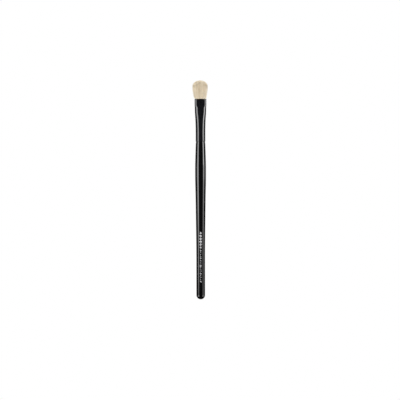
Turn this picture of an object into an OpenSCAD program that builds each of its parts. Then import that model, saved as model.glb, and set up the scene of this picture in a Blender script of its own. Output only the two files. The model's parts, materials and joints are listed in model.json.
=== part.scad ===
// Eyeshadow brush: a turned stick, a pressed tube and a rounded flat tuft of hair.
// Upright, with the tail of the handle at the origin and the axis along +Z.
// The broad face of the tuft looks along Y, so its width lies along X.

/* [Handle] */
// Length of the handle from the tip of its tail to the ferrule
handle_l = 126.3; // [100:0.1:150]
// Diameter of the straight shank above the domed tail
shank_d = 6.9; // [5.5:0.05:8]
// Length of the straight shank, above the dome
shank_l = 26; // [10:0.5:30]
// Largest diameter of the belly
belly_d = 8.72; // [8:0.01:12]
// Distance from the belly up to the ferrule
belly_drop = 23.4; // [18:0.1:40]
// How far the neck lies below the surface of the tube
neck_inset = 0.03; // [0:0.01:0.2]
// Rounding of the neck's edge at the ferrule
neck_round = 0.22; // [0.05:0.01:0.4]

/* [Tenon and glue] */
// Length of the tenon, over which the tube stays round
tenon_l = 8.6; // [7.5:0.1:11]
// Taper at the tip of the tenon
tenon_chamfer = 0.8; // [0.2:0.1:1.5]
// Thickness of the glue between the tenon and the tube
glue_gap = 0.08; // [0.04:0.01:0.2]
// Depth of the two glue grooves
groove_depth = 0.3; // [0.1:0.05:0.6]
// Height of a glue groove
groove_h = 0.9; // [0.4:0.1:1.4]
// Distance from the shoulder to the first groove
groove_start = 2.2; // [1:0.1:3]
// Distance between the two grooves, middle to middle
groove_pitch = 2.8; // [1.6:0.1:3]

/* [Ferrule] */
// Length of the ferrule
ferrule_l = 34; // [28:0.1:44]
// Outer diameter of the tube before it is pressed
tube_d = 7.7; // [6.8:0.05:8.4]
// Thickness of the tube
tube_wall = 0.35; // [0.2:0.01:0.5]
// Width of the pressed oval below the clamped mouth
oval_w = 9.1; // [8.6:0.05:10]
// Width of the clamped mouth
mouth_w = 9.4; // [8.8:0.05:10.4]
// Length of the clamped flat band at the mouth
band_l = 4.8; // [3.5:0.1:7]
// Length of the step between the oval and the band
step_l = 2.6; // [1.5:0.1:4]
// Squareness of the clamped section: 2 is an ellipse
mouth_squareness = 2.6; // [2.1:0.05:3]
// Rounding of both cut ends of the tube
end_round = 0.16; // [0.04:0.01:0.18]

/* [Root] */
// Length of the resin plug below the clamped band
plug_l = 9; // [6:0.1:13]
// Width of the thread binding round the roots
tie_w = 1.4; // [0.6:0.1:2.5]
// Thickness of the thread binding
tie_t = 0.35; // [0.2:0.05:0.5]
// Clearance between the root pieces and the tube
seat_gap = 0.03; // [0.02:0.01:0.1]

/* [Hair] */
// Height of the hair above the mouth
hair_l = 15; // [10:0.1:24]
// How far the tuft swells past the mouth at each narrow side
swell_w = 1.45; // [0.6:0.05:3]
// How far the tuft swells past the mouth at each broad side
swell_t = 1.05; // [0.4:0.05:2.5]
// Height of the rounded end of the tuft
dome_h = 4.9; // [3:0.1:7]
// Depth of the packed hair's top below the mouth
pack_depth = 0.08; // [0.04:0.01:0.2]
// Strands across the width
strands_across = 32; // [28:1:34]
// Strands through the thickness
strands_deep = 12; // [11:1:12]

/* [Hidden] */
$fn = 96;

// Where things lie along the axis
dome_r = shank_d / 2;
shank_top = dome_r + shank_l;
belly_z = handle_l - belly_drop;
mouth_z = handle_l + ferrule_l;
tip_z = mouth_z + hair_l;
neck_d = tube_d - 2 * neck_inset;
bore_r = tube_d / 2 - tube_wall;
tenon_r = bore_r - glue_gap;
plug_top = mouth_z - band_l;
plug_low = plug_top - plug_l;
pack_top = mouth_z - pack_depth;

// How the stick swells from the shank to the belly, and falls from the belly to the neck.
// Each pair is a share of the way up and a share of the swell.
rise_shares = [[0, 0], [0.25, 0.11], [0.5, 0.38], [0.7, 0.6], [0.8, 0.77], [0.9, 0.95], [1, 1]];
fall_shares = [[0, 0], [0.2, 0.06], [0.45, 0.37], [0.7, 0.7], [0.85, 0.9], [1, 1]];
profile_steps = 24;
dome_steps = 16;

// How the tube widens from its round stretch to the oval
flare_shares = [[0, 0], [0.15, 0.07], [0.3, 0.17], [0.45, 0.31], [0.6, 0.55], [0.72, 0.77], [0.86, 0.95], [1, 1]];
tube_sides = 56;
flare_steps = 9;
step_steps = 4;
round_steps = 3;
solve_passes = 24;

// Where the thread lies, as a share of the plug from its lower end
tie_share = 0.3;

// How the tuft opens above its packed root, and where the strands have their rings.
// Each pair is a share of the height up to the widest place and a share of the flare.
open_shares = [[0, 0], [0.17, 0.32], [0.45, 0.62], [0.75, 0.88], [1, 1]];
ring_shares = [0, 0.17, 0.82];
fill_shares = [0.8, 0.84, 0.74];
corner_share = 0.83;
scatter_share = 0.09;
lean_share = 0.12;
tip_seed = 11;
lean_seed = 23;

// A smooth curve through a list of pairs, level at both ends: a cubic between each two pairs
function span(t, x, i = 0) = i >= len(t) - 2 || x < t[i + 1][0] ? i : span(t, x, i + 1);
function slope(t, i) =
    i == 0 || i == len(t) - 1 ? 0 : (t[i + 1][1] - t[i - 1][1]) / (t[i + 1][0] - t[i - 1][0]);
function cubic(p, m, q, n, s) =
    p * (1 + s * s * (2 * s - 3)) + m * s * (1 - s) * (1 - s) + q * s * s * (3 - 2 * s) - n * s * s * (1 - s);
function through(t, x) =
    let (i = span(t, x), w = t[i + 1][0] - t[i][0])
    cubic(t[i][1], slope(t, i) * w, t[i + 1][1], slope(t, i + 1) * w, (x - t[i][0]) / w);
function ease(s) = s * s * (3 - 2 * s);
function mix(a, b, s) = a + (b - a) * s;

// A closed pressed section: an ellipse that squares up as its power rises from 2
function signed_power(v, e) = sign(v) * pow(abs(v), e);
function section(a, b, n, sides) = [
    for (i = [0:sides - 1])
        let (t = 360 * (i + 0.5) / sides)
        [a * signed_power(cos(t), 2 / n), b * signed_power(sin(t), 2 / n)]
];
function girth(p, i = 0) = i == len(p) ? 0 : norm(p[(i + 1) % len(p)] - p[i]) + girth(p, i + 1);
// Pressing keeps the girth, so the half thickness follows from the half width: halve the range
function pressed(a, n, target, low, high, pass) =
    pass == 0 ? (low + high) / 2
    : girth(section(a, (low + high) / 2, n, tube_sides)) > target
        ? pressed(a, n, target, low, (low + high) / 2, pass - 1)
        : pressed(a, n, target, (low + high) / 2, high, pass - 1);
tube_girth = girth(section(tube_d / 2, tube_d / 2, 2, tube_sides));
function half_thickness(a, n) = pressed(a, n, tube_girth, 0, a, solve_passes);

// Half width and squareness of the tube at a height above the handle's shoulder
flare_l = ferrule_l - tenon_l - step_l - band_l;
step_low = tenon_l + flare_l;
band_low = step_low + step_l;
function tube_half(h) =
    h <= tenon_l ? tube_d / 2
    : h <= step_low ? mix(tube_d, oval_w, through(flare_shares, (h - tenon_l) / flare_l)) / 2
    : h <= band_low ? mix(oval_w, mouth_w, ease((h - step_low) / step_l)) / 2
    : mouth_w / 2;
function tube_power(h) =
    h <= step_low ? 2 : h <= band_low ? mix(2, mouth_squareness, ease((h - step_low) / step_l)) : mouth_squareness;
function tube_section(h) =
    let (a = tube_half(h), n = tube_power(h))
    section(a, h <= tenon_l ? a : half_thickness(a, n), n, tube_sides);
// A section drawn in by an even amount, square to its own edge
function inward(p, d) = [
    for (i = [0:len(p) - 1])
        let (t = p[(i + 1) % len(p)] - p[(i + len(p) - 1) % len(p)])
        p[i] + d * [-t[1], t[0]] / norm(t)
];
function raised(p, z) = [for (q = p) [q[0], q[1], z]];
function flat_list(lists) = [for (l = lists) for (v = l) v];

// Faces of a stack of rings that all have the same number of points, from one ring to the next.
// A closed stack goes on from its last ring to its first.
function ring_faces(rings, sides, closed = false) = [
    for (r = [0:rings - (closed ? 1 : 2)])
        for (i = [0:sides - 1])
            let (a = r * sides, b = (r + 1) % rings * sides, k = (i + 1) % sides)
            each [[a + i, b + i, b + k], [a + i, b + k, a + k]]
];
function floor_fan(first, sides, hub) = [for (i = [0:sides - 1]) [hub, first + i, first + (i + 1) % sides]];
function roof_fan(first, sides, hub) = [for (i = [0:sides - 1]) [hub, first + (i + 1) % sides, first + i]];

// Points of a quarter round after its start, from 0 to 1 along both of its directions
function quarter(steps) = [for (i = [1:steps]) [sin(90 * i / steps), 1 - cos(90 * i / steps)]];

// The stick: a domed tail, the straight shank, the swell up to the belly, the fall to the neck,
// the rounded edge of the neck and the grooved tenon
neck_l = handle_l - neck_round - belly_z;
function dome_points() = [
    for (i = [0:dome_steps])
        let (t = 90 * i / dome_steps)
        [dome_r * sin(t), dome_r * (1 - cos(t))]
];
function rise_points() = [
    for (i = [0:profile_steps])
        let (s = i / profile_steps)
        [mix(shank_d, belly_d, through(rise_shares, s)) / 2, mix(shank_top, belly_z, s)]
];
function fall_points() = [
    for (i = [1:profile_steps])
        let (s = i / profile_steps)
        [mix(belly_d, neck_d, through(fall_shares, s)) / 2, belly_z + neck_l * s]
];
function neck_points() = [
    for (q = quarter(round_steps)) [neck_d / 2 - neck_round * q[1], handle_l - neck_round + neck_round * q[0]]
];
function groove_points(r, grow) = [
    for (k = [0:1])
        let (low = handle_l + groove_start + k * groove_pitch - groove_h / 2)
        each [[r, low], [r - grow, low], [r - grow, low + groove_h], [r, low + groove_h]]
];
tenon_top = handle_l + tenon_l;
tenon_points = concat(
    [[tenon_r, handle_l]],
    groove_points(tenon_r, groove_depth),
    [[tenon_r, tenon_top - tenon_chamfer], [tenon_r - tenon_chamfer, tenon_top], [0, tenon_top]]
);

module handle() {
    color("#16161a")
        rotate_extrude()
            polygon(concat(dome_points(), rise_points(), fall_points(), neck_points(), tenon_points));
}

// The glue stands in the grooves and fills the gap round the tenon, up to its taper
glue_low = handle_l + end_round;
glue_high = tenon_top - tenon_chamfer;
glue_out = bore_r - seat_gap;
module tenon_glue() {
    color("#c9b27a")
        rotate_extrude()
            polygon(concat(
                [[glue_out, glue_high], [glue_out, glue_low], [tenon_r, glue_low]],
                groove_points(tenon_r, groove_depth),
                [[tenon_r, glue_high]]
            ));
}

// Rings of the tube: how high each lies and how much its cut edge is rounded away there
end_rounds = [for (q = quarter(round_steps)) [end_round * (1 - q[0]), end_round * (1 - q[1])]];
tube_rings = concat(
    [for (i = [round_steps - 1:-1:0]) [end_rounds[i][0], end_round - end_rounds[i][1]]],
    [[end_round, 0], [tenon_l, 0]],
    [for (i = [1:flare_steps]) [tenon_l + flare_l * i / flare_steps, 0]],
    [for (i = [1:step_steps]) [step_low + step_l * i / step_steps, 0]],
    [[ferrule_l - end_round, 0]],
    [for (i = [0:round_steps - 1]) [ferrule_l - end_rounds[i][0], end_round - end_rounds[i][1]]]
);
tube_outer = [for (r = tube_rings) raised(inward(tube_section(r[0]), r[1]), handle_l + r[0])];
tube_inner = [for (r = tube_rings) raised(inward(tube_section(r[0]), tube_wall), handle_l + r[0])];

// The rings go up the outside and down the inside, and so back to the first
module ferrule() {
    n = len(tube_rings);
    loop = concat(tube_outer, [for (i = [n - 1:-1:0]) tube_inner[i]]);
    color("#1b1b20") polyhedron(flat_list(loop), ring_faces(2 * n, tube_sides, true));
}

// The resin follows the tube's inner wall, with a groove for the thread
tie_z = plug_low + plug_l * tie_share;
groove_low = tie_z - tie_w / 2 - seat_gap;
groove_high = tie_z + tie_w / 2 + seat_gap;
groove_inset = tie_t + 2 * seat_gap;
plug_levels = concat(
    [[plug_low, seat_gap], [groove_low, seat_gap], [groove_low, groove_inset]],
    [[groove_high, groove_inset], [groove_high, seat_gap], [handle_l + step_low, seat_gap]],
    [for (i = [1:step_steps]) [handle_l + step_low + step_l * i / step_steps, seat_gap]]
);
module root_plug() {
    levels = [for (l = plug_levels) raised(inward(tube_section(l[0] - handle_l), tube_wall + l[1]), l[0])];
    n = len(levels) * tube_sides;
    color("#b89a5e")
        polyhedron(
            concat(flat_list(levels), [[0, 0, plug_low], [0, 0, plug_top]]),
            concat(
                ring_faces(len(levels), tube_sides),
                floor_fan(0, tube_sides, n),
                roof_fan(n - tube_sides, tube_sides, n + 1)
            )
        );
}

// The thread lies round the roots as one band, in the groove of the resin
module root_tie() {
    low = tie_z - tie_w / 2;
    high = tie_z + tie_w / 2;
    stack = [
        for (r = [[low, seat_gap], [high, seat_gap], [high, seat_gap + tie_t], [low, seat_gap + tie_t]])
            raised(inward(tube_section(r[0] - handle_l), tube_wall + r[1]), r[0])
    ];
    color("#e8e2d2") polyhedron(flat_list(stack), ring_faces(len(stack), tube_sides, true));
}

// The tuft is laid out in a plain grid of cells, one strand to a cell. The grid is bent to a rounded
// outline, and every level of the tuft is that outline at another size, so no strand leaves its cell
// and none can cross another.
nx = strands_across;
ny = strands_deep;
root_a = mouth_w / 2 - tube_wall - seat_gap;
root_b = half_thickness(mouth_w / 2, mouth_squareness) - tube_wall - seat_gap;
tuft_a = mouth_w / 2 + swell_w;
tuft_b = root_b + tube_wall + seat_gap + swell_t;
widest_z = tip_z - dome_h;
function bent(u, v) = [u * sqrt(1 - corner_share * v * v / 2), v * sqrt(1 - corner_share * u * u / 2)];
function open_at(z) = z >= widest_z ? 1 : z <= pack_top ? 0 : through(open_shares, (z - pack_top) / (widest_z - pack_top));
function placed(u, v, z) =
    let (p = bent(u, v), s = open_at(z))
    [p[0] * mix(root_a, tuft_a, s), p[1] * mix(root_b, tuft_b, s), z];
function dome_z(u, v) =
    let (p = bent(u, v))
    widest_z + dome_h * sqrt(max(0, 1 - p[0] * p[0] - p[1] * p[1]));

tip_drops = rands(0, dome_h * scatter_share, nx * ny, tip_seed);
leans = rands(-lean_share, lean_share, 2 * nx * ny, lean_seed);
// The three corners of a strand in its cell, as shares of half a cell. Every second one points down.
corners = [[-1, -1], [1, -1], [0, 1]];
function strand_point(i, j, ring, corner) =
    let (
        c = i + nx * j,
        turn = (i + j) % 2 == 0 ? 1 : -1,
        low = ring_shares[ring],
        u0 = (2 * i + 1) / nx - 1,
        v0 = (2 * j + 1) / ny - 1,
        lean = [leans[2 * c], leans[2 * c + 1]] * (ring == 0 ? 0 : 1),
        p = (corners[corner] * turn * fill_shares[ring] + lean),
        top = dome_z(u0, v0) - tip_drops[c]
    )
    placed(u0 + p[0] / nx, v0 + p[1] / ny, mix(pack_top, top, low));
function strand_tip(i, j) =
    let (c = i + nx * j, u0 = (2 * i + 1) / nx - 1, v0 = (2 * j + 1) / ny - 1)
    placed(u0 + leans[2 * c] / nx, v0 + leans[2 * c + 1] / ny, dome_z(u0, v0) - tip_drops[c]);

grid_points = [for (j = [0:ny]) for (i = [0:nx]) placed(2 * i / nx - 1, 2 * j / ny - 1, pack_top)];
function g(i, j) = i + (nx + 1) * j;
// The rim of the grid, counterclockwise from the first corner
rim = concat(
    [for (i = [0:nx - 1]) g(i, 0)], [for (j = [0:ny - 1]) g(nx, j)],
    [for (i = [nx:-1:1]) g(i, ny)], [for (j = [ny:-1:1]) g(0, j)]
);
rings = len(ring_shares);
strand_size = 3 * rings + 1;
grid_size = (nx + 1) * (ny + 1);
rim_start = grid_size + nx * ny * strand_size;

// Seven faces fill a cell between its four corners and the strand's root
function cell_faces(a, b, c, d, s) = [
    [a, s + 1, b], [a, s, s + 1], [b, s + 2, c], [b, s + 1, s + 2], [c, s + 2, d], [d, s, a], [d, s + 2, s]
];
function strand_faces(s) = concat(
    [for (r = [0:rings - 2]) for (e = [0:2])
        let (a = s + 3 * r + e, b = s + 3 * r + (e + 1) % 3) each [[a, a + 3, b + 3], [a, b + 3, b]]],
    [for (e = [0:2]) [s + 3 * (rings - 1) + e, s + 3 * rings, s + 3 * (rings - 1) + (e + 1) % 3]]
);

module hair_tuft() {
    strand_points = [
        for (j = [0:ny - 1]) for (i = [0:nx - 1])
            each concat([for (r = [0:rings - 1]) for (k = [0:2]) strand_point(i, j, r, k)], [strand_tip(i, j)])
    ];
    low_rim = [for (k = rim) [grid_points[k][0], grid_points[k][1], plug_top]];
    n = len(rim);
    cells = [
        for (j = [0:ny - 1]) for (i = [0:nx - 1])
            let (s = grid_size + (i + nx * j) * strand_size, up = (i + j) % 2 == 0)
            each concat(
                up ? cell_faces(g(i, j), g(i + 1, j), g(i + 1, j + 1), g(i, j + 1), s)
                : cell_faces(g(i + 1, j + 1), g(i, j + 1), g(i, j), g(i + 1, j), s),
                strand_faces(s)
            )
    ];
    sides = [
        for (k = [0:n - 1])
            let (m = (k + 1) % n)
            each [[rim_start + k, rim[k], rim[m]], [rim_start + k, rim[m], rim_start + m]]
    ];
    faces = concat(cells, sides, floor_fan(rim_start, n, rim_start + n));
    echo(strands = nx * ny, triangles = len(faces), mouth_thickness = 2 * (root_b + tube_wall + seat_gap));
    color("#dcc8a8")
        polyhedron(concat(grid_points, strand_points, low_rim, [[0, 0, plug_top]]), faces);
}

handle();
tenon_glue();
ferrule();
root_plug();
root_tie();
hair_tuft();
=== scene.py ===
# %% [markdown]
# # An eyeshadow brush, dressed around its fixed model
#
# A brush of this kind is three things that show: a turned stick under black gloss lacquer, a thin
# metal tube pressed flat at its mouth, and a soft domed tuft of cream hair. Three more hold it
# together inside: the resin round the hair roots, the thread that bound them, and the glue on the
# stick's tenon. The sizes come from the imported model, which is loaded first and never moved. All
# that follows is drawn round it, in metres, with +Z along the brush from its tail to its hair.

# %% Load the fixed model
import json
import math

import bpy
import numpy as np
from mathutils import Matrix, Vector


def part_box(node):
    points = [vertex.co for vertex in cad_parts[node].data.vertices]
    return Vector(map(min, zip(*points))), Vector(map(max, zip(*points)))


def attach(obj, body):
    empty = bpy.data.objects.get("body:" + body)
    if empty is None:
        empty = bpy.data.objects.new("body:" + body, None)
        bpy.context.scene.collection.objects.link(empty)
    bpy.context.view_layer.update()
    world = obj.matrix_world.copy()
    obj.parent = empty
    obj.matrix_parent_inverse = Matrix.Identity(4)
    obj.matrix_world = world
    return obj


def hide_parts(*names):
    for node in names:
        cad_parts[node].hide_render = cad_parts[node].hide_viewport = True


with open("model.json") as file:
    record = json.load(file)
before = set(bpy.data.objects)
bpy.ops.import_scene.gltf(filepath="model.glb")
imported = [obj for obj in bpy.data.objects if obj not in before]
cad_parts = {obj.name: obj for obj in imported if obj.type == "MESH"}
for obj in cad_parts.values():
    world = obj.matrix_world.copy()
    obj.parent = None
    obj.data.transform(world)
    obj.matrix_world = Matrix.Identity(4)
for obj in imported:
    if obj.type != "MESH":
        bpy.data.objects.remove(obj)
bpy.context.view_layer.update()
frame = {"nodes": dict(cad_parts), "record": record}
record = frame["record"]

# %% [markdown]
# The sizes that the model states are read from it: how high each piece starts and ends, and the
# straight shank's radius and length, which are those of its mount. The rest are the same few
# driving sizes that the model is built from, written in millimetres as a maker would give them.

# %% Sizes of the brush
MM = 0.001

mount = record["mounts"][0]["dims"]
handle_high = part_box("handle")[1]
ferrule_low, ferrule_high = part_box("ferrule")
plug_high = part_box("root_plug")[1]
tie_low, tie_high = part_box("root_tie")
tuft_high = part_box("hair_tuft")[1]

shank_r = mount["r_mm"] * MM
shank_l = mount["length_mm"] * MM
belly_r = handle_high.x
belly_drop = 23.4 * MM
joint_z = ferrule_low.z
mouth_z = ferrule_high.z
tip_z = tuft_high.z

tube_d = 7.7 * MM
tube_wall = 0.35 * MM
tube_round = 0.16 * MM
seat_gap = 0.03 * MM
oval_w = 9.1 * MM
mouth_w = 9.4 * MM
tenon_l = handle_high.z - joint_z
step_l = 2.6 * MM
band_l = mouth_z - plug_high.z
mouth_squareness = 2.6

neck_inset = 0.03 * MM
shoulder_h, shoulder_depth = 2.4 * MM, 0.2 * MM
neck_r = tube_d / 2 - neck_inset - shoulder_depth
neck_round = 0.12 * MM
glue_gap = 0.08 * MM
tenon_r = tube_d / 2 - tube_wall - glue_gap
tenon_chamfer = 0.8 * MM
print("Joint at", round(joint_z / MM, 2), "mm, mouth at", round(mouth_z / MM, 2), "mm, belly radius",
      round(belly_r / MM, 2), "mm, mouth band", round(band_l / MM, 2), "mm")

# %% [markdown]
# Two curves do most of the shaping. The first runs smoothly through a few pairs of shares, level at
# both ends, and says how one size becomes another on the way up. The second is the pressed section
# of a tube: an ellipse that squares up as its power rises from 2. Written as functions on whole
# arrays they serve the stick, the tube, the thread and every single hair.

# %% Smooth curve through shares, and the pressed section


def through(shares, x):
    """Cubic between each two pairs of shares. Its slope at a pair is that of the line from the pair
    before to the pair after, and zero at both ends."""
    at, value = np.array(shares, float).T
    slope = np.zeros(len(at))
    slope[1:-1] = (value[2:] - value[:-2]) / (at[2:] - at[:-2])
    i = np.clip(np.searchsorted(at, x, side="right") - 1, 0, len(at) - 2)
    width = at[i + 1] - at[i]
    s = (x - at[i]) / width
    start = value[i] * (1 + s * s * (2 * s - 3)) + slope[i] * width * s * (1 - s) ** 2
    return start + value[i + 1] * s * s * (3 - 2 * s) - slope[i + 1] * width * s * s * (1 - s)


def ease(s):
    """Rises from 0 to 1 and is level at both ends: three times s squared less twice s cubed."""
    s = np.clip(s, 0, 1)
    return s * s * (3 - 2 * s)


def mix(a, b, s):
    """The value a share s of the way from a to b."""
    return a + (b - a) * s


def section(half_w, half_t, power, angle):
    """Point of a pressed section at an angle: the half width times the cosine, and the half
    thickness times the sine, each raised to 2 over the power with its sign kept."""
    c, s = np.cos(angle), np.sin(angle)
    x = half_w * np.sign(c) * np.abs(c) ** (2 / power)
    y = half_t * np.sign(s) * np.abs(s) ** (2 / power)
    return np.stack(np.broadcast_arrays(x, y), axis=-1)


print("Half way through an even rise the curve is at", through([[0, 0], [1, 1]], np.array([0.5])))

# %% [markdown]
# Every skin here is a grid of points: a stack of rings that all have the same number of sides.
# Four neighbours make a face, the last side joins the first, and each end is either closed on a
# centre point or joined to the other end. Rings that turn to the left as they climb give faces
# that look outwards, so nothing has to be turned round afterwards. Blender's own Spin and Loft
# tools could do this too, but arrays keep each point under control and build in a blink.

# %% Faces of a stack of rings, and a mesh from arrays


def ring_faces(rings, sides, loop=False):
    """Quads from ring r, side k to ring r + 1, side k + 1. A loop goes on from its last ring to the
    first."""
    r, k = np.meshgrid(np.arange(rings if loop else rings - 1), np.arange(sides), indexing="ij")
    up, on = (r + 1) % rings, (k + 1) % sides
    corners = [r * sides + k, r * sides + on, up * sides + on, up * sides + k]
    return np.stack(corners, axis=-1).reshape(-1, 4)


def fan(first, sides, hub, upwards):
    """Triangles from a hub to each side of the ring that starts at first."""
    k = np.arange(sides)
    edge = [first + k, first + (k + 1) % sides]
    return np.stack([np.full(sides, hub), *(edge if upwards else edge[::-1])], axis=-1)


def closed_skin(rings, loop=False):
    """Points and faces of one closed skin, from rings of shape (rings, sides, 3). Where it isn't a
    loop, the first and last ring are each closed on a hub at their middle."""
    count, sides = rings.shape[:2]
    points = rings.reshape(-1, 3)
    faces = [ring_faces(count, sides, loop)]
    if not loop:
        points = np.concatenate([points, rings[0].mean(0)[None], rings[-1].mean(0)[None]])
        faces.append(fan(0, sides, count * sides, False))
        faces.append(fan((count - 1) * sides, sides, count * sides + 1, True))
    return points, faces


def copies(points, faces, each):
    """Joins many skins that share one list of faces: points has shape (skins, each, 3)."""
    shift = (np.arange(len(points)) * each)[:, None, None]
    return points.reshape(-1, 3), [(f[None] + shift).reshape(-1, f.shape[1]) for f in faces]


def make_piece(name, points, faces, slot=None, replaces=(), sharp_deg=40):
    """Mesh object from an (n, 3) array of points and arrays of faces with 3 or 4 corners. Edges that
    turn by more than sharp_deg stay crisp, and all else is shaded smoothly."""
    mesh = bpy.data.meshes.new(name)
    corners = np.concatenate([f.ravel() for f in faces]).astype(np.int32)
    sizes = np.concatenate([np.full(len(f), f.shape[1]) for f in faces])
    starts = np.concatenate([[0], np.cumsum(sizes)[:-1]]).astype(np.int32)
    mesh.vertices.add(len(points))
    mesh.vertices.foreach_set("co", points.astype(np.float32).ravel())
    mesh.loops.add(len(corners))
    mesh.loops.foreach_set("vertex_index", corners)
    mesh.polygons.add(len(sizes))
    mesh.polygons.foreach_set("loop_start", starts)
    mesh.update(calc_edges=True)
    if mesh.validate():
        raise ValueError(f"{name} has broken faces")
    mesh.shade_smooth()
    mesh.set_sharp_from_angle(angle=math.radians(sharp_deg))
    piece = bpy.data.objects.new(name, mesh)
    bpy.context.scene.collection.objects.link(piece)
    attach(piece, "root")
    if replaces:
        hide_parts(*replaces)
    low, high = points.min(0) / MM, points.max(0) / MM
    print(name, "triangles", int((sizes - 2).sum()), "from", low.round(2), "to", high.round(2), "mm")
    return piece


print("Faces between two rings of six sides", len(ring_faces(2, 6)))

# %% [markdown]
# ## The stick
#
# The real handle is birch, turned on a lathe: a domed tail, a straight shank that slides into a
# stand's pocket, a slow swell to the belly where the fingers hold it, and a fall to the neck. Just
# under the tube the stick draws in a little, which shows as a pinch at the joint. Past the neck
# comes the tenon, with two glue grooves, hidden in the tube. A revolve is the lathe's own
# operation, so the whole stick is one profile carried round the axis. The hub that closes the tail
# is set on the very tip of the dome.

# %% Profile of the stick
dome_steps, shank_steps, swell_steps, neck_steps = 24, 10, 90, 7
stick_sides = 128
belly_z = joint_z - belly_drop
shank_top = shank_r + shank_l
rise_shares = [[0, 0], [0.25, 0.11], [0.5, 0.38], [0.7, 0.6], [0.8, 0.77], [0.9, 0.95], [1, 1]]
fall_shares = [[0, 0], [0.2, 0.06], [0.45, 0.37], [0.7, 0.7], [0.85, 0.9], [1, 1]]
groove_count, groove_start, groove_pitch = 2, 2.2 * MM, 2.8 * MM
groove_h, groove_depth = 0.9 * MM, 0.3 * MM


def stick_profile():
    """Radius and height from the tail up: a quarter circle, the straight shank, the two swells, the
    shoulder drawn in by an eased step, a rounded neck, and the tenon with a square groove at each
    pitch."""
    turn = np.linspace(0, math.pi / 2, dome_steps + 1)[1:]
    s = np.linspace(0, 1, swell_steps + 1)
    shank = np.linspace(shank_r, shank_top, shank_steps + 2)[1:-1]
    neck_z = joint_z - neck_round
    fall_z = mix(belly_z, neck_z, s)
    fall_r = mix(belly_r, neck_r + shoulder_depth, through(fall_shares, s))
    fall_r = fall_r - shoulder_depth * ease((fall_z - neck_z) / shoulder_h + 1)
    quarter = np.linspace(0, math.pi / 2, neck_steps + 1)[1:]
    neck = [neck_r - neck_round * (1 - np.cos(quarter)), neck_z + neck_round * np.sin(quarter)]
    grooves = [
        [[tenon_r, low], [tenon_r - groove_depth, low],
         [tenon_r - groove_depth, low + groove_h], [tenon_r, low + groove_h]]
        for low in joint_z + groove_start - groove_h / 2 + groove_pitch * np.arange(groove_count)
    ]
    parts = [
        np.stack([shank_r * np.sin(turn), shank_r * (1 - np.cos(turn))], -1),
        np.stack([np.full(len(shank), shank_r), shank], -1),
        np.stack([mix(shank_r, belly_r, through(rise_shares, s)), mix(shank_top, belly_z, s)], -1),
        np.stack([fall_r, fall_z], -1)[1:],
        np.stack(neck, -1),
        np.array([[tenon_r, joint_z]]),
        np.array(grooves).reshape(-1, 2),
        np.array([[tenon_r, handle_high.z - tenon_chamfer],
                  [tenon_r - tenon_chamfer, handle_high.z]]),
    ]
    return np.concatenate(parts)


def revolve(profile, sides):
    """Carries a profile of radius and height round the axis, in even steps."""
    angle = np.linspace(0, 2 * math.pi, sides, endpoint=False)
    r, z = profile[:, :1], profile[:, 1:]
    z = np.broadcast_to(z, (len(profile), sides))
    return np.stack([r * np.cos(angle), r * np.sin(angle), z], -1)


profile = stick_profile()
stick_points, stick_faces = closed_skin(revolve(profile, stick_sides))
tail_hub = len(stick_points) - 2
stick_points[tail_hub] = (0, 0, 0)
stick = make_piece("stick", stick_points, stick_faces, "handle_lacquer", ["handle"])

# %% [markdown]
# ## The foil marks
#
# The front of the shank carries small silver marks, stamped in foil. Here they are a plain row of
# slim lozenges and a line of dots, which say nothing. A texture could paint them, but foil is a
# thin layer with its own shine, so each mark is a thin closed plate wrapped round the shank: a
# point of it lies at an angle of its distance across divided by the shank's radius there.

# %% Foil plates wrapped on the shank
foil_t = 0.02 * MM
lozenge_count, lozenge_pitch, lozenge_low = 6, 2.3 * MM, 41.6 * MM
lozenge_w, lozenge_l, lozenge_power = 1.3 * MM, 1.05 * MM, 1.15
dot_count, dot_pitch, dot_low = 17, 1.55 * MM, 14.4 * MM
small_dot_r, large_dot_r, dot_power = 0.37 * MM, 0.6 * MM, 2.0
large_dot_every = 4
mark_sides = 20
plate_shares = [0.05, 0.4, 0.72, 1]


def radius_at(z):
    """Radius of the stick at a height below its neck, along its profile."""
    r, high = profile[: dome_steps + 2 * swell_steps].T
    return np.interp(z, high, r)


def foil_marks():
    """Each mark is an outline in the plane, where the sum of |across| and |along|, each over its
    half size and raised to a power, is one: a lozenge near power 1 and a dot at power 2. Rings that
    grow to it under the surface, and shrink from it over the surface, bend the plate to the round."""
    i, j = np.arange(lozenge_count), np.arange(dot_count)
    swell = np.sin(math.pi * (i + 0.5) / lozenge_count)
    high = np.concatenate([lozenge_low + lozenge_pitch * i, dot_low + dot_pitch * j])
    dot_r = np.where(j % large_dot_every == 0, large_dot_r, small_dot_r)
    across = np.concatenate([mix(lozenge_w / 2, lozenge_w, swell), dot_r])
    along = np.concatenate([np.full(lozenge_count, lozenge_l), dot_r])
    power = np.repeat([lozenge_power, dot_power], [lozenge_count, dot_count])
    angle = np.linspace(0, 2 * math.pi, mark_sides, endpoint=False)
    shape = section(across[:, None], along[:, None], power[:, None], angle[None])
    grow = np.array(plate_shares + plate_shares[::-1])[None, :, None]
    lift = np.repeat([-foil_t, foil_t], len(plate_shares))[None, :, None]
    z = high[:, None, None] + grow * shape[:, None, :, 1]
    r = radius_at(z) + lift
    turn = grow * shape[:, None, :, 0] / radius_at(z)
    return np.stack([r * np.sin(turn), -r * np.cos(turn), z], -1)


marks = foil_marks()
mark_faces = closed_skin(marks[0])[1]
mark_points = np.stack([closed_skin(m)[0] for m in marks])
foil = make_piece("foil_marks", *copies(mark_points, mark_faces, mark_points.shape[1]))

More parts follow.
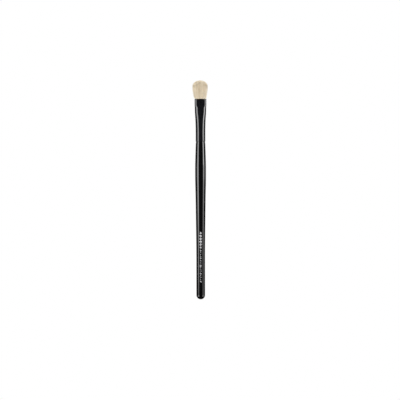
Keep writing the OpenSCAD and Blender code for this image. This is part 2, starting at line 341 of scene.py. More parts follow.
# %% [markdown]
# ## The tube
#
# The ferrule is a drawn tube, round where it sits on the tenon and pressed to an oval and then to a
# flat band that clamps the hair. Metal doesn't stretch in a press: the way round stays as long as
# it was. So only the width is chosen at each height, and the thickness that keeps the girth is
# found by halving a range, for all heights at once. Points lie at even steps along the girth, as a
# line scratched along the real tube would, and the inner skin is the outer one drawn in square to
# its edge by the wall. A lofted pair of circles would look like a nozzle and lose this form.

# %% Sections of the tube that keep their girth
tube_sides = 160
fine_sides = 1440
halvings = 30
flare_shares = [[0, 0], [0.15, 0.07], [0.3, 0.17], [0.45, 0.31], [0.6, 0.55], [0.72, 0.77], [0.86, 0.95],
                [1, 1]]
flare_l = mouth_z - joint_z - tenon_l - step_l - band_l
fine_angle = np.linspace(0, 2 * math.pi, fine_sides, endpoint=False)


def girth(half_w, half_t, power):
    """Length of the way round each section, as the sum of its short chords."""
    p = section(half_w[:, None], half_t[:, None], power[:, None], fine_angle[None])
    return np.linalg.norm(np.roll(p, -1, axis=1) - p, axis=-1).sum(1)


def tube_form(h):
    """Half width, half thickness and power at heights above the joint."""
    flare = through(flare_shares, np.clip((h - tenon_l) / flare_l, 0, 1))
    press = ease((h - tenon_l - flare_l) / step_l)
    half_w = mix(tube_d, mix(oval_w, mouth_w, press), np.where(press > 0, 1, flare)) / 2
    power = mix(2, mouth_squareness, press)
    low, high = np.zeros(len(h)), half_w.copy()
    for _ in range(halvings):
        middle = (low + high) / 2
        long = girth(half_w, middle, power) > math.pi * tube_d
        low, high = np.where(long, low, middle), np.where(long, middle, high)
    return half_w, np.where(h <= tenon_l, half_w, (low + high) / 2), power


def even_rings(half_w, half_t, power, sides):
    """Each section as points at even steps along its girth, from its narrow side on."""
    fine = section(half_w[:, None], half_t[:, None], power[:, None], fine_angle[None])
    closed = np.concatenate([fine, fine[:, :1]], axis=1)
    steps = np.linalg.norm(np.diff(closed, axis=1), axis=-1)
    way = np.concatenate([np.zeros((len(fine), 1)), np.cumsum(steps, axis=1)], axis=1)
    want = np.linspace(0, 1, sides, endpoint=False)
    rings = [[np.interp(want * w[-1], w, c[:, axis]) for axis in (0, 1)] for w, c in zip(way, closed)]
    return np.array(rings).transpose(0, 2, 1)


def drawn_in(rings, depth):
    """Moves each point square to its ring's edge, towards the axis, by a depth for each ring."""
    along = np.roll(rings, -1, axis=1) - np.roll(rings, 1, axis=1)
    inward = np.stack([-along[..., 1], along[..., 0]], -1) / np.linalg.norm(along, axis=-1, keepdims=True)
    return rings + np.reshape(depth, (-1, 1, 1)) * inward


print("Flare", round(flare_l / MM, 2), "mm long, between a seat of", round(tenon_l / MM, 2),
      "mm and a step of", round(step_l / MM, 2), "mm")

# %% [markdown]
# The real tube has a wall, and its two cut ends are tumbled round so that they bite neither the
# hair nor the lacquer. So the outer skin starts and ends with a quarter circle, which draws it in
# by the rounding, and the inner skin runs back down inside the wall. End to end they are one loop
# of rings. Solidify would thicken a single skin as well, but it would leave the ends square.

# %% The tube's two skins, joined over its rounded ends
end_steps, seat_steps, flare_steps, press_steps, band_steps = 7, 19, 89, 23, 12
ferrule_sharp_deg = 50
turn = np.linspace(0, math.pi / 2, end_steps)
edge_depth = tube_round * (1 - np.sin(turn))
edge_rise = tube_round * (1 - np.cos(turn))
tube_l = mouth_z - joint_z
step_h = tenon_l + flare_l
band_h = tenon_l + flare_l + step_l
body_h = np.concatenate([
    np.linspace(tube_round, tenon_l, seat_steps + 1)[1:],
    np.linspace(tenon_l, step_h, flare_steps + 1)[1:],
    np.linspace(step_h, band_h, press_steps + 1)[1:],
    np.linspace(band_h, tube_l - tube_round, band_steps + 2)[1:-1],
])
skin_h = np.concatenate([edge_rise, body_h, tube_l - edge_rise[::-1]])
skin_depth = np.concatenate([edge_depth, np.zeros(len(body_h)), edge_depth[::-1]])
half_w, half_t, power = tube_form(skin_h)
outer = even_rings(half_w, half_t, power, tube_sides)


def raised(rings, heights):
    """Gives flat rings their heights above the joint."""
    z = np.broadcast_to((joint_z + heights)[:, None, None], rings.shape[:2] + (1,))
    return np.concatenate([rings, z], axis=-1)


outer_skin = raised(drawn_in(outer, skin_depth), skin_h)
inner_skin = raised(drawn_in(outer, np.full(len(skin_h), tube_wall)), skin_h)[::-1]
tube_points, tube_faces = closed_skin(np.concatenate([outer_skin, inner_skin]), loop=True)
ferrule = make_piece(
    "ferrule_tube", tube_points, tube_faces, "ferrule_lacquer", ["ferrule"], ferrule_sharp_deg
)
mouth_t = half_t[-1] * 2
print("Thickness at the mouth", round(mouth_t / MM, 2), "mm at a girth of",
      round(math.pi * tube_d / MM, 2), "mm")

# %% [markdown]
# ## The binding thread
#
# Before the resin is poured, cotton thread is wound round the hair roots. Its five turns lie in
# the groove that they leave in the cured plug. The path is the tube's own section at that height,
# drawn in past the wall and the clearance, and it climbs evenly as it goes round. A small circle is
# carried along the path, with one of its axes pointing up. A curve with a bevel would give the same
# cord, but it would still have to be made into a mesh to be exported.

# %% A thread wound in five turns
thread_turns, thread_steps, thread_sides = 5, 64, 10
thread_slack = 1.1
thread_r = (tie_high.z - tie_low.z) / (thread_turns + 1) / 2


def carried_circle(path, radius, sides):
    """Rings of a round cord along a path: the outward axis is square to the path and level, and the
    other axis is square to both."""
    ahead = np.gradient(path, axis=0)
    ahead /= np.linalg.norm(ahead, axis=1, keepdims=True)
    out = np.cross(ahead, [0, 0, 1])
    out /= np.linalg.norm(out, axis=1, keepdims=True)
    up = np.cross(ahead, out)
    angle = np.linspace(0, 2 * math.pi, sides, endpoint=False)[None, :, None]
    return path[:, None] + radius * (np.cos(angle) * out[:, None] + np.sin(angle) * up[:, None])


thread_ring = even_rings(*tube_form(np.array([tie_low.z - joint_z])), thread_steps)
thread_lane = drawn_in(thread_ring, [tube_wall + seat_gap + thread_r * thread_slack])[0]
step = np.arange(thread_turns * thread_steps + 1)
climb = tie_low.z + thread_r + (tie_high.z - tie_low.z - 2 * thread_r) * step / step[-1]
thread_path = np.column_stack([thread_lane[step % thread_steps], climb])
thread_points, thread_faces = closed_skin(carried_circle(thread_path, thread_r, thread_sides))
thread = make_piece("binding_thread", thread_points, thread_faces, "binding_thread", ["root_tie"])

# %% [markdown]
# ## The hair
#
# The tuft is some seven thousand soft hairs. Blender has hair curves, but an export keeps only
# meshes, so each hair is a slim closed skin of three sides that thins to a point. Its root lies on
# a sunflower pattern: hair number i turns by the golden angle from the one before, and its share of
# the way out is the square root of its share of the count, which spreads the roots evenly.
#
# What holds the tuft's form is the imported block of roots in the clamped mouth, a short loft of the
# tube's own inner section. From there the outline swells to the widest place, and above that it
# draws in over the dome. Loose hairs stand a little wide of the solid model.

# %% Packed roots and the outline of the tuft
dome_h = 4.9 * MM
wide_z = tip_z - dome_h
loose_w = 0.06 * MM
wide_w, wide_t = tuft_high.x + loose_w, tuft_high.y
wide_squareness = 2.15
open_shares = [[0, 0], [0.05, 0.17], [0.17, 0.42], [0.45, 0.71], [0.75, 0.94], [1, 1]]
lean_in = 0.5
bore_w = mouth_w / 2 - tube_wall
bore_t = mouth_t / 2 - tube_wall
root_steps, root_sides, root_drop = 6, 96, 0.15 * MM


def tuft_outline(z):
    """Half width, half thickness and power of the tuft at a height. It opens from the bore to its
    widest place, and over the dome it draws in as the root of one less half the squared share."""
    open_ = through(open_shares, np.clip((z - mouth_z) / (wide_z - mouth_z), 0, 1))
    over = np.clip((z - wide_z) / dome_h, 0, 1)
    inward = np.sqrt(1 - lean_in * over**2)
    half_w = mix(bore_w, wide_w, open_) * inward
    half_t = mix(bore_t, wide_t, open_) * inward
    return half_w, half_t, mix(mouth_squareness, wide_squareness, open_)


root_h = np.linspace(plug_high.z, mouth_z - root_drop, root_steps) - joint_z
root_rings = even_rings(*tube_form(root_h), root_sides)
root_rings = drawn_in(root_rings, np.full(root_steps, tube_wall + seat_gap))
root_points, root_faces = closed_skin(raised(root_rings, root_h))
packed_roots = make_piece("packed_roots", root_points, root_faces, "cream_hair", ["hair_tuft"])

# %% [markdown]
# All hairs are worked out at once, as arrays with a row for each hair and a column for each level
# up it. One seeded generator draws every number, so each run gives the same head.
#
# A hair keeps its share of the way out from its root to its tip, so hairs fan out and never tangle.
# Its tip stops at the dome, a little short by chance. Hairs of one lock lean towards each other, and
# each has a drift and a slight wave of its own, so the surface breaks up into soft locks as washed
# hair does. No head stands quite straight either: this one leans a third of a millimetre to the
# left as the picture shows it, most of it just over the mouth.

# %% Numbers of the hair, its places and its locks
rng = np.random.default_rng(7)
hair_count, lock_count = 7400, 420
hair_sides, hair_r = 3, 0.045 * MM
thick_spread, thick_range = 0.12, (0.7, 1.3)
tip_short, tip_spread, lock_spread = 0.12, 0.2, 0.05
broken_share, broken_range = 0.05, (0.2, 0.9)
pull_range, pull_power = (0.05, 0.32), 1.5
drift, drift_power, wave_size, wave_range = 0.13, 1.6, 0.035, (3, 7)
stray_share, stray_range = 0.02, (0.05, 0.3)
lean_left, lean_power = 0.33 * MM, 8
keep_w, keep_t = 0.12 * MM, 0.10 * MM
root_z = mouth_z - 1.2 * MM
level_shares = np.array([0, 0.06, 0.15, 0.3, 0.5, 0.72, 0.88, 1])
taper = np.array([1, 1, 1, 1, 1, 0.98, 0.92, 0.76, 0.42])
tip_point = 0.12 * MM
lock_turned, lock_strewn = 1.0, 0.02
tone_middle, tone_spread, tone_lock, rim_light_tone = 0.46, 0.2, 0.10, 0.3


def sunflower(count, turn=0.0):
    """Share of the way out and angle of evenly spread points on a disc."""
    i = np.arange(count)
    return np.sqrt((i + 0.5) / count), i * math.pi * (3 - math.sqrt(5)) + turn


def place(share, angle, z):
    """Point of the tuft at a share of the way out, an angle and a height."""
    half_w, half_t, power = tuft_outline(z)
    return share[..., None] * section(half_w, half_t, power, angle)


share, angle = sunflower(hair_count)
lock_share, lock_angle = sunflower(lock_count, lock_turned)
flat = np.stack([share * np.cos(angle), share * np.sin(angle)], -1)
lock_flat = np.stack([lock_share * np.cos(lock_angle), lock_share * np.sin(lock_angle)], -1)
lock_flat += rng.normal(0, lock_strewn, lock_flat.shape)
lock = ((flat[:, None] - lock_flat[None]) ** 2).sum(-1).argmin(1)
lock_out = np.hypot(*lock_flat[lock].T)
lock_turn = np.arctan2(lock_flat[lock, 1], lock_flat[lock, 0])
print("Hairs in the smallest and the largest lock", np.bincount(lock).min(), np.bincount(lock).max())

# %% Heights of the tips, and the line of each hair
dome_share = np.sqrt((1 - share**2) / (1 - lean_in * share**2))
short = tip_short + np.abs(rng.normal(0, tip_spread, hair_count))
short = np.clip(short + rng.normal(0, lock_spread, lock_count)[lock], 0, None)
broken = rng.random(hair_count) < broken_share
short = short + np.where(broken, rng.uniform(*broken_range, hair_count), 0)
tip_h = wide_z + dome_h * dome_share - short * MM

z = mouth_z + (tip_h[:, None] - mouth_z) * level_shares[None]
z = np.concatenate([np.full((hair_count, 1), root_z), z], axis=1)
line = place(np.broadcast_to(share[:, None], z.shape), angle[:, None], z)
lock_line = place(np.broadcast_to(lock_out[:, None], z.shape), lock_turn[:, None], z)
above = np.clip((z - mouth_z) / (tip_z - mouth_z), 0, 1)
pull = rng.uniform(*pull_range, lock_count)[lock][:, None] * above**pull_power
line = line + pull[..., None] * (lock_line - line)
drift_by = rng.normal(0, drift, (hair_count, 2)) * MM
wave_turn = rng.uniform(0, 2 * math.pi, (hair_count, 2))
wave = np.sin(above[..., None] * rng.uniform(*wave_range, (hair_count, 1, 1)) + wave_turn[:, None])
line = line + above[..., None] ** drift_power * drift_by[:, None] + wave_size * MM * above[..., None] * wave
stray = rng.random(hair_count) < stray_share
outward = np.stack([np.cos(angle), np.sin(angle)], -1)
outward = outward * rng.uniform(*stray_range, hair_count)[:, None] * MM
line = line + stray[:, None, None] * above[..., None] ** 2 * outward[:, None]
line = line - (1 - (1 - above[..., None]) ** lean_power) * [lean_left, 0]
keep_x, keep_y = wide_w + keep_w, wide_t + keep_t
line = np.clip(line, [-keep_x - lean_left / 2, -keep_y], [keep_x, keep_y])
print("Hairs", hair_count, "in", lock_count, "locks, tips from", (tip_h.min() / MM).round(2), "to",
      (tip_h.max() / MM).round(2), "mm,", int(broken.sum()), "broken and", int(stray.sum()), "astray")

# %% [markdown]
# Each hair becomes a three-sided skin along its line, and it thins to a point. The same few faces
# serve all of them. Its tone is a number of its own, near that of its lock, and it is painted paler
# at the narrow sides of the head as a painted rim light.

# %% The skin of each hair, and its tone
thick = hair_r * rng.normal(1, thick_spread, hair_count).clip(*thick_range)
twist = rng.uniform(0, 2 * math.pi, hair_count)
corner = twist[:, None] + np.linspace(0, 2 * math.pi, hair_sides, endpoint=False)[None]
ring = np.stack([np.cos(corner), np.sin(corner)], -1)
rings_xy = line[:, :, None] + (thick[:, None] * taper)[:, :, None, None] * ring[:, None]
rings_z = np.broadcast_to(z[:, :, None, None], rings_xy.shape[:3] + (1,))
hair_rings = np.concatenate([rings_xy, rings_z], axis=-1)
tips = np.concatenate([line[:, -1], (tip_h + tip_point)[:, None]], axis=-1)
roots = np.concatenate([line[:, 0], np.full((hair_count, 1), root_z)], axis=-1)
hair_rings = hair_rings.reshape(hair_count, -1, 3)
hair_points = np.concatenate([hair_rings, roots[:, None], tips[:, None]], axis=1)
hair_faces = closed_skin(hair_rings[0].reshape(-1, hair_sides, 3))[1]
tone = tone_middle + tone_spread * rng.normal(size=hair_count)
tone = tone + tone_lock * rng.normal(size=lock_count)[lock]
# The narrow sides of the head are painted paler here, a painted rim light.
tone = np.clip(tone + rim_light_tone * np.abs(flat[:, 0]) ** 3, 0, 1)
print("Points on each hair", hair_points.shape[1], "and mean tone", tone.mean().round(3))

# %% [markdown]
# The hairs go into three pieces, so that each stays light enough to handle: those deep inside, and
# the outer ones of the front and of the back. Each point carries two numbers for the finish: its
# hair's own tone, and how high up the hair it lies.

# %% Three pieces of hair
inner_share = 0.6
never_sharp_deg = 180
inner, front = share < inner_share, flat[:, 1] < 0
groups = {"inner_hair": inner, "front_hair": ~inner & front, "back_hair": ~inner & ~front}
ring_level = np.repeat(above, hair_sides, axis=1)
level = np.concatenate([ring_level, above[:, :1], np.ones((hair_count, 1))], axis=1)
hair_pieces = []
for name, chosen in groups.items():
    points, faces = copies(hair_points[chosen], hair_faces, hair_points.shape[1])
    hair = make_piece(name, points, faces, "cream_hair", ["hair_tuft"], never_sharp_deg)
    tones = np.repeat(tone[chosen], hair_points.shape[1])
    for label, values in {"tone": tones, "rise": level[chosen].ravel()}.items():
        attribute = hair.data.attributes.new(label, "FLOAT", "POINT")
        attribute.data.foreach_set("value", values.astype(np.float32))
    hair_pieces.append(hair)

# %% [markdown]
# ## Finishes
#
# Every finish is made of nodes that read Object coordinates, so its grain has a real size in
# metres. Three small helpers keep each recipe down to what is particular to it: one adds a node,
# sets its values and links its inputs, one is a material that knows a few common steps, and one
# gives a finish to its pieces.

# %% Helpers for node recipes


def new_node(tree, kind, inputs=None, **settings):
    """Adds a node to a tree. An input is a value, or the output of an earlier node."""
    node = tree.nodes.new("ShaderNode" + kind)
    for key, value in settings.items():
        setattr(node, key, value)
    for key, value in (inputs or {}).items():
        if isinstance(value, bpy.types.NodeSocket):
            tree.links.new(value, node.inputs[key])
        else:
            node.inputs[key].default_value = value
    return node


class Recipe:
    """A material under construction: add() makes a node, and shader is its Principled BSDF."""

    def __init__(self, name, **constants):
        self.material = bpy.data.materials.new(name)
        self.material.use_nodes = True
        self.tree = self.material.node_tree
        self.shader = self.tree.nodes["Principled BSDF"]
        for key, value in constants.items():
            self.shader.inputs[key.replace("_", " ")].default_value = value

    def add(self, kind, inputs=None, **settings):
        """Adds a node to this material."""
        return new_node(self.tree, kind, inputs, **settings)

    def feed(self, **outputs):
        """Links outputs to the shader's inputs, such as Base_Color or Roughness."""
        for key, value in outputs.items():
            self.tree.links.new(value, self.shader.inputs[key.replace("_", " ")])

    def show(self, shader):
        """Makes another shader than the Principled one the material's surface."""
        self.tree.links.new(shader.outputs[0], self.tree.nodes["Material Output"].inputs["Surface"])

    def noise(self, scale, stretch=(1, 1, 1), detail=2.0):
        """Noise on Object coordinates. A stretch below 1 draws it out along that axis."""
        where = self.add("TexCoord").outputs["Object"]
        mapping = self.add("Mapping", {"Vector": where, "Scale": [s * scale for s in stretch]})
        return self.add("TexNoise", {"Vector": mapping.outputs[0], "Scale": 1.0, "Detail": detail}).outputs[0]

    def span(self, value, low, high, start=0.3, end=0.7):
        """Maps a value from start and end to low and high."""
        limits = {"Value": value, "From Min": start, "From Max": end, "To Min": low, "To Max": high}
        return self.add("MapRange", limits).outputs[0]

    def ramp(self, value, stops):
        """Colour that runs through stops, each a place and a colour."""
        node = self.add("ValToRGB", {"Fac": value})
        elements = node.color_ramp.elements
        while len(elements) < len(stops):
            elements.new(0.5)
        for element, (at, colour) in zip(elements, stops):
            element.position, element.color = at, (*colour, 1)
        return node.outputs[0]

    def bump(self, height, strength, distance):
        """Bump from a height, with its distance in metres."""
        return self.add("Bump", {"Height": height, "Strength": strength, "Distance": distance}).outputs[0]


def wear(material, *pieces):
    """Gives pieces a finish, in place of any that they had."""
    for piece in pieces:
        piece.data.materials.clear()
        piece.data.materials.append(material)
    print(material.name, "on", [piece.name for piece in pieces])


# %% [markdown]
# ### Black gloss lacquer
#
# Several thin coats, sanded between and dipped last: almost black, with a sharp reflection from the
# clear top coat and a faint softer one under it. The eye tells lacquer from plastic by its slight
# waviness, so a very low bump a few millimetres wide bends the reflections a little. On the tube
# the draw lines of the metal show through as the faintest of streaks along it.

# %% Lacquers of the stick and the tube


def lacquer(name, dark, light, wave_mm, streaks, swell):
    """Clear coat over near black. Noise moves the colour between two darks and the roughness a
    little, and a low bump of the given width, drawn out along the piece, bends the reflections.
    Its swell is the bump's height in metres."""
    r = Recipe(name, Specular_IOR_Level=0.0, Coat_Weight=1.0, Coat_Roughness=0.045, Coat_IOR=1.5)
    grain = r.noise(streaks / MM, (1, 1, 0.02), 3.0)
    r.feed(Base_Color=r.ramp(grain, [(0.35, dark), (0.65, light)]))
    r.feed(Roughness=r.span(grain, 0.3, 0.42))
    wave = r.noise(1 / (wave_mm * MM), (1, 1, 0.3), 1.0)
    height = r.add("Math", {0: wave, 1: r.span(grain, 0, 0.06)}, operation="ADD").outputs[0]
    normal = r.bump(height, 0.35, swell)
    r.feed(Normal=normal, Coat_Normal=normal)
    return r.material


stick_darks = (0.0008, 0.0008, 0.0009), (0.0018, 0.0018, 0.0020)
tube_darks = (0.0022, 0.0024, 0.0030), (0.0042, 0.0044, 0.0054)
wear(lacquer("stick_lacquer", *stick_darks, 3.0, 0.9, 0.06 * MM), stick)
wear(lacquer("tube_lacquer", *tube_darks, 2.2, 3.0, 0.04 * MM), ferrule)

# %% [markdown]
# ### Silver foil
#
# Stamped foil is a film of metal with a crackled, slightly dull skin. A plain metal would mirror the
# dark room and go black, so the foil is part metal and part matt grey, as a worn stamp is.

# %% Foil
foil_finish = Recipe("silver_foil", Metallic=0.35)
crackle = foil_finish.noise(16 / MM, detail=3.0)
silvers = foil_finish.ramp(crackle, [(0.3, (0.38, 0.38, 0.39)), (0.7, (0.48, 0.48, 0.49))])
foil_finish.feed(Base_Color=silvers, Roughness=foil_finish.span(crackle, 0.35, 0.6))
foil_finish.feed(Normal=foil_finish.bump(crackle, 0.3, 0.01 * MM))
wear(foil_finish.material, foil)

# %% [markdown]
# ### Cream hair
#
# Each hair takes its colour from its own tone number, and broad streaks shift whole locks. Just over
# the mouth it is painted a touch darker, a painted shade where hairs lie close. Undyed hair is nearly
# matt, so the shader's gloss is low. Blender's hair shader needs curves and isn't exported, so the common one
# serves.

# %% Hair
hair_finish = Recipe("soft_hair", Specular_IOR_Level=0.2)
own = hair_finish.add("Attribute", attribute_name="tone").outputs["Fac"]
height = hair_finish.add("Attribute", attribute_name="rise").outputs["Fac"]
streak = hair_finish.span(hair_finish.noise(0.7 / MM, (1, 1, 0.08)), -0.12, 0.12)
tone_here = hair_finish.add("Math", {0: own, 1: streak}, operation="ADD", use_clamp=True).outputs[0]
cream = hair_finish.ramp(tone_here, [
    (0.0, (0.77, 0.63, 0.44)), (0.35, (0.85, 0.74, 0.56)),
    (0.7, (0.90, 0.81, 0.65)), (1.0, (0.93, 0.89, 0.79)),
])
# Painted shade: the hair is darkened a little just over the mouth, where hairs lie close.
painted_mouth_shade = hair_finish.ramp(height, [(0.0, (1, 1, 1)), (0.12, (0.96, 0.96, 0.96)), (0.5, (1, 1, 1))])
both = {"Factor": 1.0, "A": cream, "B": painted_mouth_shade}
blend = hair_finish.add("Mix", both, data_type="RGBA", blend_type="MULTIPLY")
hair_finish.feed(Base_Color=blend.outputs["Result"])
hair_finish.feed(Roughness=hair_finish.span(own, 0.6, 0.75, 0, 1))
wear(hair_finish.material, *hair_pieces, packed_roots)

# %% [markdown]
# ### What lies inside
#
# The resin, the glue and the thread never show on a whole brush, but they are there when it is taken
# apart, so they get a finish too. The resin and the glue keep the fixed model's own solids, because
# cured stuff has just the form of the space that it fills.

# %% Resin, thread and glue


def cured(name, deep, clear, roughness, scale):
    """Cured resin or glue: cloudy colour between two tones and a slightly uneven gloss."""
    r = Recipe(name, Specular_IOR_Level=0.5, Coat_Weight=0.3, Coat_Roughness=0.1)
    cloud = r.noise(scale / MM, detail=4.0)
    r.feed(Base_Color=r.ramp(cloud, [(0.3, deep), (0.7, clear)]))
    r.feed(Roughness=r.span(cloud, roughness, roughness + 0.15))
    r.feed(Normal=r.bump(cloud, 0.4, 0.03 * MM))
    return r.material


def cotton(name):
    """Cotton thread: off-white with fine slanted plies as a bump and in the colour."""
    r = Recipe(name, Roughness=0.85, Sheen_Weight=0.3)
    fibre = r.noise(9 / MM, (1, 1, 0.4), 3.0)
    r.feed(Base_Color=r.ramp(fibre, [(0.3, (0.66, 0.61, 0.50)), (0.7, (0.86, 0.83, 0.75))]))
    r.feed(Normal=r.bump(fibre, 0.6, 0.03 * MM))
    return r.material


resin = cured("amber_resin", (0.42, 0.26, 0.09), (0.62, 0.44, 0.20), 0.2, 0.8)
glue = cured("clear_glue", (0.52, 0.40, 0.19), (0.66, 0.55, 0.31), 0.3, 1.2)
wear(resin, frame["nodes"]["root_plug"])
wear(glue, frame["nodes"]["tenon_glue"])
wear(cotton("cotton_thread"), thread)

# %% [markdown]
# ## Studio
#
# The photograph shows the brush alone on white, with no shadow near it, so the floor lies a hand's
# width below the tail. The white comes from what the camera is shown, never from stronger lamps:
# Light Path tells the world and the floor which rays come from the camera, and those see white.
# The floor is a small pale disc that takes the brush's shadow, and it is dark for all other rays,
# so that the tail doesn't mirror it.

# %% Floor
floor_drop, floor_r, floor_sides = 0.1, 0.16, 64
floor_turn = np.linspace(0, 2 * math.pi, floor_sides, endpoint=False)
floor_corners = floor_r * np.stack([np.cos(floor_turn), np.sin(floor_turn)], -1)
floor_corners = np.column_stack([floor_corners, np.full(floor_sides, -floor_drop)])
floor_mesh = bpy.data.meshes.new("floor")
floor_mesh.from_pydata(floor_corners.tolist(), [], [list(range(floor_sides))])
floor = bpy.data.objects.new("floor", floor_mesh)
bpy.context.scene.collection.objects.link(floor)

floor_finish = Recipe("white_floor", Base_Color=(0.03, 0.03, 0.03, 1), Roughness=0.9, Specular_IOR_Level=0.0)
matt = floor_finish.add("BsdfDiffuse", {"Color": (0.8, 0.8, 0.8, 1)})
glow = floor_finish.add("Emission", {"Color": (1, 1, 1, 1), "Strength": 1.05})


def mixed(share, first, second):
    """Shader that goes from the first to the second as the share goes from 0 to 1."""
    return floor_finish.add("MixShader", {"Fac": share, 1: first.outputs[0], 2: second.outputs[0]})


camera_sees = mixed(0.75, matt, glow)
to_camera = floor_finish.add("LightPath").outputs["Is Camera Ray"]
floor_finish.show(mixed(to_camera, floor_finish.shader, camera_sees))
floor_mesh.materials.append(floor_finish.material)
print("Floor", floor_r, "m in radius,", floor_drop, "m below the tail")

# %% [markdown]
# The world is a room of three kinds of light. The camera sees plain white. Glossy and transmitted
# rays meet a dim room, as black cards round a set would give it, which keeps the lacquer black, with
# the white backdrop at full strength straight behind the brush. Rays that leave a matt surface meet
# an even soft fill from all round. A picture of a real studio would do the same, but a few sums on
# the direction of the ray say it exactly: its cosine to the backdrop's middle, and how far up it goes.

# %% World
room_dim, room_top, soft_fill = 0.03, 0.2, 0.86
backdrop_edge, overhead_edge = (0.98, 0.997), (0.4, 0.95)
world = bpy.data.worlds.new("studio")
bpy.context.scene.world = world
world.use_nodes = True
sky = world.node_tree
sky.nodes.clear()


def sums(operation, a, b):
    """One sum, product or other step on two values."""
    return new_node(sky, "Math", {0: a, 1: b}, operation=operation).outputs[0]


def rise(value, low, high, top):
    """Rises smoothly from 0 to top while the value goes from low to high."""
    limits = {"Value": value, "From Min": low, "From Max": high, "To Min": 0.0, "To Max": top}
    return new_node(sky, "MapRange", limits, interpolation_type="SMOOTHSTEP").outputs[0]


way = new_node(sky, "TexCoord").outputs["Generated"]
parts = new_node(sky, "SeparateXYZ", {0: way}).outputs
flat_way = new_node(sky, "CombineXYZ", {"X": parts[0], "Y": parts[1], "Z": 0.0}).outputs[0]
flat_way = new_node(sky, "VectorMath", {0: flat_way}, operation="NORMALIZE").outputs[0]
behind = new_node(sky, "VectorMath", {0: flat_way, 1: (0, 1, 0)}, operation="DOT_PRODUCT")

rays = new_node(sky, "LightPath").outputs
mirror = sums("MAXIMUM", rays["Is Glossy Ray"], rays["Is Transmission Ray"])
backdrop = sums("MULTIPLY", mirror, rise(behind.outputs["Value"], *backdrop_edge, 1.0))
fill = sums("MULTIPLY", sums("SUBTRACT", 1.0, mirror), soft_fill)
overhead = rise(parts[2], *overhead_edge, room_top)
room = sums("MAXIMUM", sums("MAXIMUM", backdrop, fill), sums("MAXIMUM", overhead, room_dim))
strength = sums("MAXIMUM", room, rays["Is Camera Ray"])
background = new_node(sky, "Background", {"Color": (1, 1, 1, 1), "Strength": strength})
sky.links.new(background.outputs[0], new_node(sky, "OutputWorld").inputs["Surface"])
print("World nodes", len(sky.nodes))

# %% [markdown]
# Two tall strip lights draw the two bright lines that run the length of the lacquer. A mirror turns
# a ray by twice the angle of its surface, and on a round stick a line seen at a share of the radius
# belongs to a normal whose sine is that share. So the left line, at half the radius, asks for a
# strip 60 degrees from the camera's axis, and the right one, at 0.56, for one at 68. Each strip is
# a glowing panel that fades to its sides, and dims where the stick's lower end mirrors it, as the
# lines do in the picture. Two broad faint panels behind them grade the flanks.
#
# The hair needs softer light than the lacquer, so matt surfaces get only a share of the panels'
# glow. Three large lamps, one in front and two behind, light the hair instead. They are left out
# of all mirrored rays, because a lamp with hard corners would show as a spot in the tube's step.

# %% Panels that light the brush and show in the lacquer
panel_away = 0.8
panel_low, panel_high = -0.5, 1.1
matt_share = 0.25
fade_from = 0.35


def panel(name, azimuth_deg, wide_deg, radiance, shares):
    """Upright glowing plane that faces the brush. Azimuth 0 is in front and 90 on the right. Its
    glow follows shares of the radiance, each at a height in metres."""
    a = math.radians(azimuth_deg)
    half = math.tan(math.radians(wide_deg / 2)) * panel_away
    middle = np.array([math.sin(a), -math.cos(a), 0]) * panel_away
    along = np.array([math.cos(a), math.sin(a), 0]) * half
    corners = [middle - along, middle + along, middle + along, middle - along]
    mesh = bpy.data.meshes.new(name)
    heights = [panel_low, panel_low, panel_high, panel_high]
    mesh.from_pydata([(c[0], c[1], z) for c, z in zip(corners, heights)], [], [(0, 1, 2, 3)])
    mesh.attributes.new("across", "FLOAT", "POINT").data.foreach_set("value", [-1, 1, 1, -1])
    plane = bpy.data.objects.new(name, mesh)
    bpy.context.scene.collection.objects.link(plane)
    plane.visible_camera = False
    r = Recipe(name)
    height = r.add("SeparateXYZ", {0: r.add("TexCoord").outputs["Object"]}).outputs["Z"]
    share = r.add("MapRange", {"Value": height, "From Min": panel_low, "From Max": panel_high}).outputs[0]
    stops = [((z - panel_low) / (panel_high - panel_low), (v, v, v)) for z, v in shares]
    on_matt = r.add("LightPath").outputs["Is Diffuse Ray"]
    full = r.span(on_matt, radiance, radiance * matt_share, 0, 1)
    across = r.add("Attribute", attribute_name="across").outputs["Fac"]
    out = r.add("Math", {0: across}, operation="ABSOLUTE").outputs[0]
    inside = {"Value": out, "From Min": fade_from, "From Max": 1.0, "To Min": 1.0, "To Max": 0.0}
    edge = r.add("MapRange", inside, interpolation_type="SMOOTHSTEP").outputs[0]
    strength = r.add("Math", {0: full, 1: edge}, operation="MULTIPLY").outputs[0]
    r.show(r.add("Emission", {"Color": r.ramp(share, stops), "Strength": strength}))
    mesh.materials.append(r.material)
    print(name, "at", azimuth_deg, "degrees,", wide_deg, "wide, radiance", radiance)


left_glow = [(-0.5, 1.0), (-0.15, 0.9), (-0.06, 0.3), (-0.031, 0.27), (-0.02, 0.43), (0.0, 0.6),
             (0.02, 0.62), (0.055, 0.96), (0.08, 1.0), (1.1, 1.0)]
right_glow = [(-0.5, 0.7), (-0.15, 0.5), (-0.02, 0.25), (0.0, 0.26), (0.02, 0.37), (0.06, 0.45),
              (0.095, 0.6), (0.13, 0.6), (0.155, 1.0), (1.1, 1.0)]
flank_glow = [(-0.5, 0.2), (-0.15, 0.06), (0.0, 0.02), (0.05, 0.04), (0.075, 0.3), (0.095, 0.88),
              (0.115, 1.0), (0.133, 1.0), (0.145, 0.7), (0.155, 0.2), (1.1, 0.12)]
panel("left_strip", -60, 40, 8.2, left_glow)
panel("right_strip", 67.5, 30, 11.3, right_glow)
panel("left_flank", -112, 56, 0.56, flank_glow)
panel("right_flank", 110, 50, 1.45, flank_glow)

# %% Lamps that light the hair
lamp_away, lamp_size = 0.9, (0.8, 0.5)


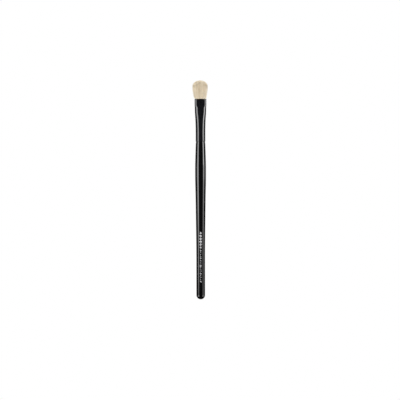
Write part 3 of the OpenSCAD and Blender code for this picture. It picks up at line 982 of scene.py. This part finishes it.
def lamp(name, azimuth_deg, up_deg, radiance):
    """Soft area lamp over the brush that points at its hair and doesn't show in the lacquer."""
    light = bpy.data.lights.new(name, "AREA")
    light.shape = "RECTANGLE"
    light.size, light.size_y = lamp_size
    light.energy = radiance * math.pi * lamp_size[0] * lamp_size[1]
    holder = bpy.data.objects.new(name, light)
    a, up = math.radians(azimuth_deg), math.radians(up_deg)
    level = lamp_away * math.cos(up)
    holder.location = (level * math.sin(a), -level * math.cos(a), tip_z + lamp_away * math.sin(up))
    holder.rotation_euler = (math.pi / 2 - up, 0, a)
    holder.visible_camera = holder.visible_glossy = False
    bpy.context.scene.collection.objects.link(holder)
    print(name, round(light.energy, 2), "W")


lamp("front_lamp", 0, 15, 1.9)
lamp("back_lamp_left", 215, 30, 3.5)
lamp("back_lamp_right", 145, 30, 3.1)

# %% [markdown]
# ## Camera
#
# The photograph is a product shot with a long lens: 0.8 mm of the brush falls on each of its 400
# pixels. A 200 mm lens on a 36 mm sensor shows that width from 1.78 m away. The camera stands level
# at the height of the picture's middle, a touch left of the brush, which leans by a twelfth of a
# degree in the frame.

# %% Camera
pixel_mm = 0.8
frame_pixels = 400
lens_mm, sensor_mm = 200, 36
middle_z = 79.5 * MM
offset_x = -0.495 * MM
lean_deg = 0.085
camera_data = bpy.data.cameras.new("camera")
camera_data.lens, camera_data.sensor_width = lens_mm, sensor_mm
camera_y = -pixel_mm * MM * frame_pixels * lens_mm / sensor_mm
camera = bpy.data.objects.new("camera", camera_data)
camera.location = (offset_x, camera_y, middle_z)
camera.rotation_euler = (math.pi / 2, math.radians(lean_deg), 0)
camera_data.clip_start, camera_data.clip_end = 0.05, 20
bpy.context.scene.collection.objects.link(camera)
bpy.context.scene.camera = camera
print("Camera", round(-camera_y, 3), "m away")

# %% [markdown]
# The picture is shown without any tone curve, so that a colour renders as it is written.

# %% View
bpy.context.scene.view_settings.view_transform = "Standard"
